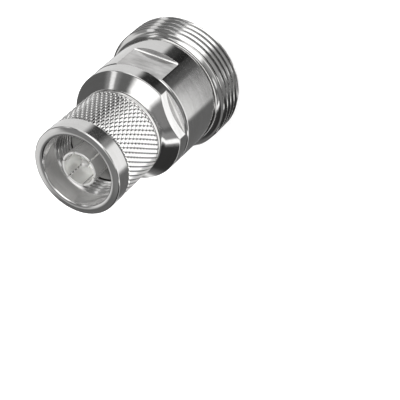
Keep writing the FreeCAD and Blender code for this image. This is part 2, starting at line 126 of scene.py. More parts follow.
# Camera fitted to the photograph, in the part's frame.
CAMERA_PLACE = (146.06, 204.32, 284.76)
CAMERA_RIGHT = (0.87225, 0.06961, -0.48408)
CAMERA_FORWARD = (-0.35206, -0.59768, -0.72030)
CAMERA_LENS = 153.0
SENSOR_WIDTH = 36.0

# Creases sharper than this, in degrees, stay sharp; the knurl and the slots need more of them.
CREASE = 33.0
FINE_CREASE = 28.0

# Points this close, in metres, are welded.
WELD_DISTANCE = 2e-7
THIN_EDGE = 1e-7

# Scales of the noise in the metals, and depths of the bumps, in metres.
FINE_RINGS = 9000.0
BROAD_RINGS = 1600.0
CLOUDS = 260.0
SPOTS = 1900.0
# the milled streaks in the flats' colour, whose paler bands are partly painted reflection
MILLED_STREAKS_AND_SHEEN = 520.0
MILLED_FINE_STREAKS = 4200.0
MILLED_STRETCH = (0.35, 0.35, 1.6)
RING_BUMP = 0.00002
MILLED_BUMP = 0.00001
SOFT_BUMP = 0.00003

# How close to a flat's plane, and how square to it or to its ledge, a painted face is.
PAINT_REACH = 0.03
FLAT_FACING = 0.9998
LEDGE_FACING = 0.97

# Strengths of the plain light around the part and of the floor's glow.
PLAIN_LIGHT = 0.8
FLOOR_GLOW = 0.34

# The floor's reach and how far it lies below the part, and the height that the lamps point at, in metres.
FLOOR_REACH = 3.0
FLOOR_DROP = 0.00005
LAMP_AIM = 0.02


# Shapes.

def rounded(corners, size=0.08, steps=3, support=0.03):
    """Soften the corners of a closed (radius, height) outline; a third value sets one corner's size."""
    outline = []
    count = len(corners)
    points = [np.array(corner[:2], float) for corner in corners]
    for index, corner in enumerate(corners):
        here = points[index]
        back = points[index - 1] - here
        ahead = points[(index + 1) % count] - here
        back_length = np.linalg.norm(back)
        ahead_length = np.linalg.norm(ahead)
        back = back / back_length
        ahead = ahead / ahead_length
        wanted = corner[2] if len(corner) > 2 else size
        reach = min(wanted, 0.4 * back_length, 0.4 * ahead_length)
        if reach <= 0:
            outline.append(here)
            continue
        extra = min(support, 0.08 * back_length, 0.08 * ahead_length)
        outline.append(here + back * (reach + extra))
        for step in range(steps + 1):
            share = step / steps
            first = here + back * reach * (1 - share)
            second = here + ahead * reach * share
            outline.append(first * (1 - share) + second * share)
        outline.append(here + ahead * (reach + extra))
    return outline


def ring(radius, height, angles):
    """One row of points; radius and height may be numbers or one value per column."""
    row = np.empty((len(angles), 3))
    row[:, 0] = radius * np.cos(angles)
    row[:, 1] = radius * np.sin(angles)
    row[:, 2] = height
    return row


def even_angles(columns):
    return np.linspace(0, TURN, columns + 1)


def grid_object(name, rows, split=None, sharp=CREASE):
    """A mesh from rows of points. The first row follows the last, and the last column repeats the first.

    split says whether a cell stays whole (0) or which diagonal cuts it (1 or 2)."""
    stack = np.array(rows) * MM
    row_count, column_count = stack.shape[:2]
    faces = []
    for row in range(row_count):
        base = row * column_count
        above = ((row + 1) % row_count) * column_count
        for column in range(column_count - 1):
            low_left = base + column
            low_right = base + column + 1
            high_left = above + column
            high_right = above + column + 1
            way = split(row, column) if split else 0
            if way == 0:
                faces.append((low_left, low_right, high_right, high_left))
            elif way == 1:
                faces.append((low_left, low_right, high_left))
                faces.append((low_right, high_right, high_left))
            else:
                faces.append((low_left, low_right, high_right))
                faces.append((low_left, high_right, high_left))
    mesh = bpy.data.meshes.new(name)
    mesh.from_pydata(stack.reshape(-1, 3).tolist(), [], faces)
    return finish_mesh(name, mesh, sharp)


def finish_mesh(name, mesh, sharp):
    """Weld, turn the faces outward, and make an object with smooth faces and sharp creases."""
    work = bmesh.new()
    work.from_mesh(mesh)
    bmesh.ops.remove_doubles(work, verts=work.verts, dist=WELD_DISTANCE)
    bmesh.ops.dissolve_degenerate(work, edges=work.edges, dist=THIN_EDGE)
    bmesh.ops.recalc_face_normals(work, faces=work.faces)
    for face in work.faces:
        face.smooth = True
    work.to_mesh(mesh)
    work.free()
    mesh.set_sharp_from_angle(angle=math.radians(sharp))
    thing = bpy.data.objects.new(name, mesh)
    bpy.context.scene.collection.objects.link(thing)
    return thing


def lathe(name, corners, columns, size=0.08):
    """A turned piece from a closed outline of (radius, height) corners."""
    angles = even_angles(columns)
    rows = [ring(radius, height, angles) for radius, height in rounded(corners, size)]
    return grid_object(name, rows)


def thread_radius(place, pitch, crest, depth, crest_share, root_share):
    """Radius along a thread: crest at whole pitches, root halfway between, flanks rounded a little."""
    share = np.abs((place / pitch) % 1.0 - 0.5) * 2.0
    run = np.clip((share - root_share) / (1.0 - crest_share - root_share), 0.0, 1.0)
    eased = run * run * (3 - 2 * run) * 0.25 + run * 0.75
    return crest - depth * (1.0 - eased)


def thread_rows(angles, start_angle, bottom, top, pitch, crest, depth, crest_share, root_share, per_pitch):
    """Rows that follow a right-hand thread from bottom to top and end flush at both."""
    climb = pitch * (angles - start_angle) / TURN
    step = pitch / per_pitch
    first = math.floor((bottom - climb.max()) / step) - 1
    last = math.ceil((top - climb.min()) / step) + 1
    rows = []
    for index in range(first, last + 1):
        height = np.clip(index * step + climb, bottom, top)
        radius = thread_radius(height - climb, pitch, crest, depth, crest_share, root_share)
        rows.append((radius, height))
    return rows


def flat_columns(half_angle, per_flat, per_side, edge):
    """Angles over half a turn from a flat's middle, with columns gathered at the flat's edges."""
    inner = np.linspace(-1, 1, per_flat + 1) * max(half_angle - edge * 2, half_angle * 0.2)
    rim_left = half_angle + edge * np.array([-1, 0, 1, 2])
    rim_right = -half_angle + edge * np.array([-2, -1, 0, 1])
    outer = np.linspace(half_angle + 2 * edge, math.pi - half_angle - 2 * edge, per_side + 1)[1:-1]
    return np.concatenate([rim_right, inner, rim_left, outer])


def soft_min(first, second, reach):
    """The lower of two values, with the crossing rounded off."""
    share = np.clip(0.5 + 0.5 * (second - first) / reach, 0.0, 1.0)
    return second * (1 - share) + first * share - reach * share * (1 - share)


def flatted_row(radius, height, flat_distance, flat_angle, bites):
    """A row of a turned wall whose columns keep to the edges of two flats; bites cuts the flats in."""
    widest = max(radius, flat_distance * SPREAD_RADIUS)
    half = math.acos(flat_distance / widest)
    away = flat_columns(half, FLAT_COLUMNS, SIDE_COLUMNS, EDGE_STEP / widest)
    away = np.concatenate([away, away + math.pi, away[:1] + TURN])
    angles = away + math.radians(flat_angle)
    if bites:
        from_flat = (away + math.pi / 2) % math.pi - math.pi / 2
        wall = flat_distance / np.maximum(np.cos(from_flat), 0.2)
        radius = soft_min(np.full(len(away), radius), wall, EDGE_SOFTNESS)
    return ring(radius, height, angles)


def shrunk_row(radius, height, wall_radius, flat_distance, flat_angle):
    """A round row with its columns in the same directions as those of the wall with flats."""
    row = flatted_row(wall_radius, height, flat_distance, flat_angle, False)
    row[:, :2] *= radius / wall_radius
    return row


def ledge_rows(radius, bottom, flat_distance, flat_angle):
    """Where the flats begin: the round wall with a small bevel over them, and the edges of their ledges."""
    ledge = flatted_row(radius, bottom, flat_distance, flat_angle, True)
    bevel = flatted_row(radius, bottom, flat_distance, flat_angle, False)
    share = np.hypot(ledge[:, 0], ledge[:, 1]) / np.hypot(bevel[:, 0], bevel[:, 1])
    bevel[:, :2] *= np.maximum(share, 1 - LEDGE_BEVEL / radius)[:, None]
    return bevel, ledge


def build_jack_body():
    """Barrel with two flats, outer thread and stepped bore."""
    rows = []

    def inside(radius, height):
        rows.append(shrunk_row(radius, height, BARREL_RADIUS, JACK_FLAT_DISTANCE, JACK_FLAT_ANGLE))

    def outside(radius, height, bites):
        rows.append(flatted_row(radius, height, JACK_FLAT_DISTANCE, JACK_FLAT_ANGLE, bites))

    # the bore, from the joint down to the mouth
    for radius, height in ((10.0, JACK_FACE), (10.0, 14.9), (9.0, 14.9), (9.0, 11.0), (8.0, 11.0),
                           (8.0, 8.7), (8.03, 8.63), (8.1, 8.6), (9.1, 8.6), (9.1, 0.4), (9.13, 0.3),
                           (9.37, 0.03), (9.45, 0.0), (13.2, 0.0)):
        inside(radius, height)
    # the thread, with its lead and back chamfer
    template = flatted_row(BARREL_RADIUS, 0.0, JACK_FLAT_DISTANCE, JACK_FLAT_ANGLE, False)
    angles = np.unwrap(np.arctan2(template[:, 1], template[:, 0]))
    for radius, height in thread_rows(angles, JACK_THREAD_START, 0.0, THREAD_END, **JACK_THREAD):
        lead = JACK_THREAD_LEAD + height
        back = JACK_THREAD_BACK + (THREAD_END - height)
        radius = np.minimum(radius, np.minimum(lead, back))
        rows.append(ring(radius, height, angles))
    # flare and barrel
    for radius, height in ((13.9, THREAD_END), (13.7, 7.38), (13.45, 7.52), (13.2, 7.7), (13.0, 7.9),
                           (12.93, 8.0), (12.905, 8.07)):
        rows.append(ring(radius, height, angles))
    for height in (8.15, 8.5, 10.5, JACK_FLAT_BOTTOM - 0.3, JACK_FLAT_BOTTOM - 0.05,
                   JACK_FLAT_BOTTOM - 0.02):
        outside(BARREL_RADIUS, height, False)
    bevel, _ = ledge_rows(BARREL_RADIUS, JACK_FLAT_BOTTOM, JACK_FLAT_DISTANCE, JACK_FLAT_ANGLE)
    rows.append(bevel)
    # the narrow slope that the cutter's corner leaves between ledge and flat
    for out, up in ((0.16, 0.01), (0.145, 0.04), (0.01, 0.33), (0.0, 0.37)):
        wall = (JACK_FLAT_DISTANCE + out, JACK_FLAT_ANGLE)
        rows.append(flatted_row(BARREL_RADIUS, JACK_FLAT_BOTTOM + up, *wall, True))
    for height in (13.6, 15.5, 18.5, 20.3, 20.42):
        outside(BARREL_RADIUS, height, True)
    for radius, height in ((12.888, 20.48), (12.86, 20.53), (12.8, 20.6), (12.7, 20.7), (12.6, 20.8),
                           (12.54, 20.85), (12.5, 20.885), (12.45, 20.9), (12.3, 20.9), (12.0, 20.9),
                           (11.8, 20.9)):
        outside(radius, height, True)
    inside(11.5, JACK_FACE)
    return grid_object("jack_body_turned", rows)


def build_plug_body():
    """Band with two flats, cone, and the shank that the nut turns on."""
    rows = []

    def inside(radius, height):
        rows.append(shrunk_row(radius, height, BAND_RADIUS, PLUG_FLAT_DISTANCE, PLUG_FLAT_ANGLE))

    def outside(radius, height, bites):
        rows.append(flatted_row(radius, height, PLUG_FLAT_DISTANCE, PLUG_FLAT_ANGLE, bites))

    # the bore and the spigot in the jack's body
    for radius, height in ((3.5, 26.5), (3.5, 14.9), (9.97, 14.9), (9.97, 18.6), (9.0, 18.6), (9.0, 19.8),
                           (9.97, 19.8), (9.97, JACK_FACE), (12.5, JACK_FACE)):
        inside(radius, height)
    # the band, with its flats
    for radius, height in ((12.75, JACK_FACE), (12.8, 20.93), (12.84, 20.98), (BAND_RADIUS, 21.05),
                           (BAND_RADIUS, PLUG_FLAT_BOTTOM - 0.05), (BAND_RADIUS, PLUG_FLAT_BOTTOM - 0.02)):
        outside(radius, height, False)
    rows.extend(ledge_rows(BAND_RADIUS, PLUG_FLAT_BOTTOM, PLUG_FLAT_DISTANCE, PLUG_FLAT_ANGLE))
    for radius, height in ((BAND_RADIUS, PLUG_FLAT_BOTTOM + 0.05), (BAND_RADIUS, 22.8), (BAND_RADIUS, 23.6),
                           (BAND_RADIUS, 23.98), (12.847, 24.03), (12.838, 24.07), (12.82, 24.11),
                           (12.79, 24.16)):
        outside(radius, height, True)
    # the cone, which the flats run out on
    slope = (BAND_RADIUS - CONE_END_RADIUS) / (CONE_TOP - BAND_TOP)
    for height in (24.25, 24.35, 24.5, 24.65, 24.8, 24.95, 25.05, 25.12, 25.17):
        outside(BAND_RADIUS - slope * (height - BAND_TOP), height, True)
    for height in (25.3, 25.7, 26.2, 26.7):
        outside(BAND_RADIUS - slope * (height - BAND_TOP), height, False)
    # the shank, with the retaining ring's groove, and its bore
    for radius, height in ((10.01, 26.88), (9.98, 26.91), (9.94, 26.935), (9.88, CONE_TOP), (9.0, CONE_TOP),
                           (7.1, CONE_TOP), (6.95, CONE_TOP), (6.9, 26.99), (6.9, 28.95), (6.85, 29.0),
                           (6.3, 29.0), (6.3, 29.9), (6.85, 29.9), (6.9, 29.95), (6.9, 32.75), (6.87, 32.84),
                           (6.8, SHANK_TOP), (5.1, SHANK_TOP), (5.0, 32.87), (5.0, 26.5)):
        inside(radius, height)
    return grid_object("plug_body_turned", rows)


def knurl_height(row, column):
    """Share of the knurl's depth at a net point: crowned diamonds between two crossing sets of grooves."""
    period = 2 * KNURL_SPLIT
    first = ((row + column) / period) % 1.0
    second = ((column - row) / period) % 1.0
    return np.interp(first, *KNURL_LEAN) + np.interp(second, *KNURL_GROOVE)


def build_coupling_nut():
    """Rim, knurl, collar, inner thread and bore, in one closed outline."""
    columns = 2 * KNURL_STARTS * KNURL_SPLIT
    angles = even_angles(columns)
    rows = []
    # bore and rim
    for radius, height in ((6.98, 28.85), (6.98, 27.2), (7.01, 27.1), (7.08, NUT_REAR), (9.6, NUT_REAR),
                           (9.74, 27.045), (9.79, 27.06), (9.82, 27.08), (9.84, 27.11), (9.85, 27.15),
                           (9.85, 27.75), (9.845, 27.775), (9.83, 27.79), (9.81, RIM_TOP), (9.75, RIM_TOP),
                           (9.71, 27.81), (9.7, 27.9)):
        rows.append(ring(radius, height, angles))
    first_knurl = len(rows)
    net_rows = KNURL_ROWS * KNURL_SPLIT
    index = np.arange(columns + 1)
    for row in range(net_rows + 1):
        height = KNURL_BOTTOM + (KNURL_TOP - KNURL_BOTTOM) * row / net_rows
        from_end = min(row, net_rows - row)
        fade = min(1.0, (from_end + KNURL_END_SHARE) / KNURL_END_ROWS)
        share = knurl_height(row, index) * fade ** 0.5
        rows.append(ring(KNURL_CREST - KNURL_DEPTH * (1 - share), height, angles))
    last_knurl = len(rows) - 1
    # collar, front rim and mouth
    for radius, height in ((9.7, 40.3), (9.7, 40.38), (9.74, COLLAR_BACK), (10.02, COLLAR_BACK),
                           (10.1, 40.42), (10.16, 40.47), (10.19, 40.53), (10.2, 40.62), (10.2, 40.66),
                           (10.2, 42.0), (10.2, 43.98), (10.2, 44.02), (10.19, 44.07), (10.17, 44.1),
                           (10.14, 44.13), (10.05, 44.2), (10.02, 44.22), (9.98, 44.235), (9.85, 44.265),
                           (9.6, 44.315), (9.3, 44.36), (9.05, 44.385), (8.85, NUT_MOUTH), (8.65, 44.395),
                           (8.5, 44.375), (8.4, 44.345), (8.32, 44.3), (8.18, 44.17), (8.16, 44.14),
                           (8.15, 44.08), (8.15, 39.85), (8.14, 39.76), (8.1, 39.71),
                           (8.05, NUT_THREAD_TOP)):
        rows.append(ring(radius, height, angles))
    # the thread, from its lead chamfer down
    thread = thread_rows(angles, 0.0, NUT_THREAD_BOTTOM, NUT_THREAD_TOP, **NUT_THREAD)
    for radius, height in reversed(thread):
        chamfer = np.clip(NUT_THREAD_LEAD - (NUT_THREAD_TOP - height), 0, NUT_THREAD_LEAD)
        lead = np.minimum(NUT_THREAD_MINOR + chamfer, NUT_LEAD_RADIUS)
        rows.append(ring(np.maximum(radius, lead), height, angles))
    # relief under the thread, the bore on the shank, and the retaining ring's groove
    for radius, height in ((8.1, NUT_THREAD_BOTTOM), (8.1, 32.2), (8.05, 32.1), (7.05, 32.1), (6.98, 32.05),
                           (6.98, 30.0), (7.4, 30.0), (7.4, 28.9), (6.98, 28.9)):
        rows.append(ring(radius, height, angles))

    def split(row, column):
        """Cut the knurl's cells along the groove that lies nearer."""
        if row < first_knurl or row >= last_knurl:
            return 0
        net_row = row - first_knurl
        period = 2 * KNURL_SPLIT
        first = (net_row + column + 1) % period
        second = (column - net_row) % period
        return 1 if abs(first - KNURL_SPLIT) >= abs(second - KNURL_SPLIT) else 2

    return grid_object("coupling_nut_knurled", rows, split=split, sharp=FINE_CREASE)


def cut_slots(thing, width, low, high, reach, count, first_angle):
    """Cut radial slots with boxes that are then removed."""
    cutters = bmesh.new()
    for index in range(count):
        angle = math.radians(first_angle) + TURN * index / count
        size = Matrix.Diagonal((reach * MM, width * MM, (high - low) * MM, 1.0))
        shift = Matrix.Translation((reach * MM / 2, 0, (high + low) / 2 * MM))
        bmesh.ops.create_cube(cutters, size=1.0, matrix=Matrix.Rotation(angle, 4, "Z") @ shift @ size)
    mesh = bpy.data.meshes.new("slots")
    cutters.to_mesh(mesh)
    cutters.free()
    cutter = bpy.data.objects.new("slots", mesh)
    bpy.context.scene.collection.objects.link(cutter)
    change = thing.modifiers.new("slots", "BOOLEAN")
    change.operation = "DIFFERENCE"
    change.solver = "EXACT"
    change.object = cutter
    change.use_self = True
    bpy.context.view_layer.update()
    cut = bpy.data.meshes.new_from_object(thing.evaluated_get(bpy.context.evaluated_depsgraph_get()))
    thing.modifiers.clear()
    old = thing.data
    thing.data = cut
    bpy.data.meshes.remove(old)
    bpy.data.objects.remove(cutter)
    bpy.data.meshes.remove(mesh)
    cut.set_sharp_from_angle(angle=math.radians(FINE_CREASE))
    return thing


def build_contact():
    tube = lathe("plug_outer_contact_slotted", [
        (3.5, 29.5, 0.0), (5.0, 29.5, 0.0), (5.0, GASKET_TOP, 0.05), (4.0, GASKET_TOP, 0.05),
        (4.0, CONTACT_TIP, 0.16), (3.5, CONTACT_TIP, 0.1),
    ], columns=180, size=0.05)
    return cut_slots(tube, width=0.3, low=CONTACT_TIP - 5.5, high=CONTACT_TIP + 0.5, reach=5.0, count=6,
                     first_angle=49.0)


def build_socket():
    tube = lathe("jack_socket_slotted", [
        (0.0, 9.5, 0.0), (3.5, 9.5, 0.05), (3.5, 1.9, 0.05), (3.8, 1.6, 0.05), (4.15, 1.6, 0.05),
        (4.3, 1.75, 0.05), (4.3, 9.8, 0.05), (3.5, 9.8, 0.05), (3.5, 11.0, 0.0), (1.6, 11.0, 0.0),
        (1.6, 15.0, 0.0), (1.0, 15.0, 0.0), (1.0, 11.8, 0.0), (0.0, 11.8, 0.0),
    ], columns=160, size=0.05)
    return cut_slots(tube, width=0.4, low=1.0, high=8.1, reach=5.0, count=4, first_angle=0.0)


def build_pin():
    return lathe("plug_pin_turned", [
        (0.0, 11.8, 0.0), (1.0, 11.8), (1.0, 15.0, 0.0), (2.2, 15.0), (2.2, 16.5), (1.52, 16.5, 0.0),
        (1.52, 38.1, 0.06), (0.825, 38.1, 0.03), (0.825, 41.1, 0.2), (0.4, 41.7, 0.1), (0.0, 41.7, 0.0),
    ], columns=96, size=0.05)


def build_gasket():
    return lathe("mating_gasket_ring", [
        (5.05, SHANK_TOP, 0.1), (7.6, SHANK_TOP, 0.1), (7.6, GASKET_TOP, 0.2), (5.05, GASKET_TOP, 0.1),
    ], columns=160)


def build_beads():
    plug_bead = lathe("plug_insulator_bead", [
        (1.52, 26.5, 0.0), (5.0, 26.5, 0.0), (5.0, 29.5, 0.0), (3.5, 29.5, 0.0), (3.5, 37.7, 0.06),
        (1.52, 37.7, 0.06),
    ], columns=128)
    jack_bead = lathe("jack_insulator_bead", [
        (1.6, 11.0, 0.06), (9.0, 11.0, 0.06), (9.0, 14.9, 0.0), (1.6, 14.9, 0.0),
    ], columns=160)
    return plug_bead, jack_bead


# Materials.

class Nodes:
    """Short ways to add and join shader nodes."""

    def __init__(self, tree):
        self.tree = tree

    def add(self, kind, **settings):
        node = self.tree.nodes.new(kind)
        for key, setting in settings.items():
            setattr(node, key, setting)
        return node

    def join(self, source, target):
        self.tree.links.new(source, target)

    def math(self, operation, first, second=None):
        node = self.add("ShaderNodeMath", operation=operation)
        for socket, given in zip(node.inputs, (first, second)):
            if given is None:
                continue
            if isinstance(given, (int, float)):
                socket.default_value = given
            else:
                self.join(given, socket)
        return node.outputs[0]

    def noise(self, vector, scale, detail=3.0, roughness=0.5):
        node = self.add("ShaderNodeTexNoise")
        node.inputs["Scale"].default_value = scale
        node.inputs["Detail"].default_value = detail
        node.inputs["Roughness"].default_value = roughness
        self.join(vector, node.inputs["Vector"])
        return node.outputs["Fac"]

    def spread(self, source, low, high, to_low, to_high):
        """A smooth step from one value to another as the source goes from low to high."""
        node = self.add("ShaderNodeMapRange", interpolation_type="SMOOTHSTEP")
        self.join(source, node.inputs["Value"])
        node.inputs["From Min"].default_value = low
        node.inputs["From Max"].default_value = high
        node.inputs["To Min"].default_value = to_low
        node.inputs["To Max"].default_value = to_high
        return node.outputs["Result"]

    def ramp(self, source, stops):
        node = self.add("ShaderNodeValToRGB")
        self.join(source, node.inputs["Fac"])
        elements = node.color_ramp.elements
        while len(elements) < len(stops):
            elements.new(0.5)
        for element, (place, colour) in zip(elements, stops):
            element.position = place
            element.color = (*colour, 1.0)
        return node.outputs["Color"]

    def blend(self, share, colour, other):
        """The colour, with a share of one fixed other colour over it."""
        node = self.add("ShaderNodeMix", data_type="RGBA")
        self.join(share, node.inputs["Factor"])
        first, second = [socket for socket in node.inputs if socket.type == "RGBA"]
        self.join(colour, first)
        second.default_value = (*other, 1.0)
        return next(socket for socket in node.outputs if socket.type == "RGBA")


def new_material(name):
    material = bpy.data.materials.new(name)
    material.use_nodes = True
    nodes = Nodes(material.node_tree)
    shader = material.node_tree.nodes["Principled BSDF"]
    return material, nodes, shader


def metal(name, light, dark, rough_low, rough_high, ring_strength, mirror=1.0, painted_knurl_shade=False):
    """Plated turned metal: fine rings about the axis, faint cloudiness and small dull spots.

    A flag adds painted shade in the knurl: dark pits, and one set of grooves half as dark. A mirror below 1
    lets the lamps and the plain light in."""
    material, nodes, shader = new_material(name)
    place = nodes.add("ShaderNodeTexCoord").outputs["Object"]
    axes = nodes.add("ShaderNodeSeparateXYZ")
    nodes.join(place, axes.inputs[0])
    across = nodes.math("MULTIPLY", axes.outputs["X"], axes.outputs["X"])
    along = nodes.math("MULTIPLY", axes.outputs["Y"], axes.outputs["Y"])
    radius = nodes.math("SQRT", nodes.math("ADD", across, along))
    ring_place = nodes.add("ShaderNodeCombineXYZ")
    nodes.join(radius, ring_place.inputs["X"])
    nodes.join(axes.outputs["Z"], ring_place.inputs["Z"])
    rings = nodes.noise(ring_place.outputs[0], FINE_RINGS, 3.0, 0.6)
    broad_rings = nodes.noise(ring_place.outputs[0], BROAD_RINGS, 2.0)
    clouds = nodes.noise(place, CLOUDS, 4.0, 0.55)
    spots = nodes.noise(place, SPOTS, 2.0)
    tone = nodes.math("ADD", nodes.math("MULTIPLY", clouds, 0.6), nodes.math("MULTIPLY", broad_rings, 0.4))
    colour = nodes.ramp(tone, [(0.3, dark), (0.7, light)])
    # painted shade: the knurl's pits dark, one set of its grooves half as dark
    if painted_knurl_shade:
        colour = nodes.blend(knurl_pit_shade(nodes, axes, radius), colour, PIT_SHADE_TONE)
    nodes.join(colour, shader.inputs["Base Color"])
    wear = nodes.math("ADD", nodes.math("MULTIPLY", spots, 0.35), nodes.math("MULTIPLY", rings, 0.65))
    nodes.join(nodes.spread(wear, 0.3, 0.7, rough_low, rough_high), shader.inputs["Roughness"])
    height = nodes.math("ADD", nodes.math("MULTIPLY", rings, 0.7), nodes.math("MULTIPLY", broad_rings, 0.3))
    add_bump(nodes, shader, height, ring_strength, RING_BUMP)
    shader.inputs["Metallic"].default_value = mirror
    return material


def knurl_pit_shade(nodes, axes, radius):
    """How much painted shade lies at a place, found from the knurl's own net."""
    cell_rise = 2 * (KNURL_TOP - KNURL_BOTTOM) * MM / KNURL_ROWS
    level = axes.outputs["Z"]
    azimuth = nodes.math("ARCTAN2", axes.outputs["Y"], axes.outputs["X"])
    turn = nodes.math("MULTIPLY", azimuth, KNURL_STARTS / TURN)
    climb = nodes.math("DIVIDE", nodes.math("SUBTRACT", level, KNURL_BOTTOM * MM), cell_rise)
    first = nodes.math("FRACT", nodes.math("ADD", turn, climb))
    beside_first = nodes.math("PINGPONG", first, 0.5)
    beside_second = nodes.math("PINGPONG", nodes.math("SUBTRACT", turn, climb), 0.5)
    pit_shade = nodes.math("MULTIPLY", nodes.spread(first, *PIT_SHADE_FROM, 0.0, 1.0),
                     nodes.spread(beside_second, *PIT_SHADE_ACROSS, 1.0, 0.0))
    groove_shade = nodes.spread(beside_first, *GROOVE_SHADE_ACROSS, GROOVE_SHADE_SHARE, 0.0)
    share = nodes.math("MAXIMUM", pit_shade, groove_shade)
    for source, low, high, rise in ((radius, *KNURL_SHADE_SEAT, 1.0),
                                    (level, KNURL_BOTTOM - KNURL_SHADE_FADE, KNURL_BOTTOM, 1.0),
                                    (level, KNURL_TOP, COLLAR_BACK, 0.0)):
        share = nodes.math("MULTIPLY", share, nodes.spread(source, low * MM, high * MM, 1.0 - rise, rise))
    return share


def add_bump(nodes, shader, height, strength, distance):
    bump = nodes.add("ShaderNodeBump")
    bump.inputs["Strength"].default_value = strength
    bump.inputs["Distance"].default_value = distance
    nodes.join(height, bump.inputs["Height"])
    nodes.join(bump.outputs[0], shader.inputs["Normal"])


def milled_with_painted_sheen(name, light, dark, rough_low, rough_high, mirror):
    """Plated flat with faint cloudiness and streaks along the cutter's path; the streaks' paler bands are
    partly painted reflection.
    """
    material, nodes, shader = new_material(name)
    place = nodes.add("ShaderNodeTexCoord").outputs["Object"]
    path = nodes.add("ShaderNodeMapping")
    path.inputs["Scale"].default_value = MILLED_STRETCH
    nodes.join(place, path.inputs["Vector"])
    streaks_and_sheen = nodes.noise(path.outputs[0], MILLED_STREAKS_AND_SHEEN, 3.0, 0.55)
    fine_streaks = nodes.noise(path.outputs[0], MILLED_FINE_STREAKS, 2.0)
    clouds = nodes.noise(place, CLOUDS, 3.0, 0.5)
    # colour bands: milling streaks, partly painted reflection
    tone = nodes.math("ADD", nodes.math("MULTIPLY", streaks_and_sheen, 0.7), nodes.math("MULTIPLY", clouds, 0.3))
    nodes.join(nodes.ramp(tone, [(0.35, dark), (0.66, light)]), shader.inputs["Base Color"])
    wear = nodes.math("ADD", nodes.math("MULTIPLY", clouds, 0.5), nodes.math("MULTIPLY", fine_streaks, 0.5))
    nodes.join(nodes.spread(wear, 0.3, 0.7, rough_low, rough_high), shader.inputs["Roughness"])
    add_bump(nodes, shader, fine_streaks, 0.05, MILLED_BUMP)
    shader.inputs["Metallic"].default_value = mirror
    return material


def soft_material(name, light, dark, rough_low, rough_high, scale, scatter=0.0):
    """Plastic or rubber with faint mottling and a fine uneven surface."""
    material, nodes, shader = new_material(name)
    place = nodes.add("ShaderNodeTexCoord").outputs["Object"]
    clouds = nodes.noise(place, scale, 4.0, 0.6)
    fine = nodes.noise(place, scale * 9.0, 2.0)
    nodes.join(nodes.ramp(clouds, [(0.3, dark), (0.7, light)]), shader.inputs["Base Color"])
    nodes.join(nodes.spread(fine, 0.3, 0.7, rough_low, rough_high), shader.inputs["Roughness"])
    add_bump(nodes, shader, fine, 0.15, SOFT_BUMP)
    shader.inputs["Subsurface Weight"].default_value = scatter
    return material


# Studio.

def direction(azimuth, elevation):
    """The unit vector that points to an azimuth and an elevation, in degrees."""
    flat = math.cos(math.radians(elevation))
    return (math.cos(math.radians(azimuth)) * flat, math.sin(math.radians(azimuth)) * flat,
            math.sin(math.radians(elevation)))


def build_world():
    """White surroundings for the eye and for matt surfaces; metal sees a studio of panels and shade."""
    world = bpy.data.worlds.new("studio")
    world.use_nodes = True
    bpy.context.scene.world = world
    nodes = Nodes(world.node_tree)
    world.node_tree.nodes.clear()
    looking = nodes.add("ShaderNodeTexCoord").outputs["Generated"]
    axes = nodes.add("ShaderNodeSeparateXYZ")
    nodes.join(looking, axes.inputs[0])
    turn = nodes.math("MULTIPLY", nodes.math("ARCTAN2", axes.outputs["Y"], axes.outputs["X"]), DEGREES)
    rise = nodes.math("MULTIPLY", nodes.math("ARCSINE", axes.outputs["Z"]), DEGREES)
    level = STUDIO_BASE
    for azimuth, half_turn, turn_fade, elevation, half_rise, rise_fade, bright in STUDIO_PANELS:
        wrapped = nodes.add("ShaderNodeMath", operation="WRAP")
        nodes.join(nodes.math("SUBTRACT", turn, float(azimuth)), wrapped.inputs[0])
        wrapped.inputs[1].default_value = 180.0
        wrapped.inputs[2].default_value = -180.0
        off_turn = nodes.math("ABSOLUTE", wrapped.outputs[0])
        off_rise = nodes.math("ABSOLUTE", nodes.math("SUBTRACT", rise, float(elevation)))
        beside = nodes.spread(off_turn, half_turn, half_turn + turn_fade, 1.0, 0.0)
        above = nodes.spread(off_rise, half_rise, half_rise + rise_fade, 1.0, 0.0)
        share = nodes.math("MULTIPLY", beside, above)
        lit = nodes.math("MULTIPLY", share, float(bright))
        kept = nodes.math("SUBTRACT", 1.0, share)
        level = nodes.math("ADD", lit, nodes.math("MULTIPLY", kept, level))
    path = nodes.add("ShaderNodeLightPath")
    glossy = nodes.add("ShaderNodeBackground")
    nodes.join(level, glossy.inputs["Strength"])
    plain = nodes.add("ShaderNodeBackground")
    plain.inputs["Strength"].default_value = PLAIN_LIGHT
    camera = nodes.add("ShaderNodeBackground")
    camera.inputs["Color"].default_value = (1.0, 1.0, 1.0, 1.0)
    camera.inputs["Strength"].default_value = 1.0
    first = nodes.add("ShaderNodeMixShader")
    nodes.join(path.outputs["Is Glossy Ray"], first.inputs["Fac"])
    nodes.join(plain.outputs[0], first.inputs[1])
    nodes.join(glossy.outputs[0], first.inputs[2])
    second = nodes.add("ShaderNodeMixShader")
    nodes.join(path.outputs["Is Camera Ray"], second.inputs["Fac"])
    nodes.join(first.outputs[0], second.inputs[1])
    nodes.join(camera.outputs[0], second.inputs[2])
    out = nodes.add("ShaderNodeOutputWorld")
    nodes.join(second.outputs[0], out.inputs["Surface"])


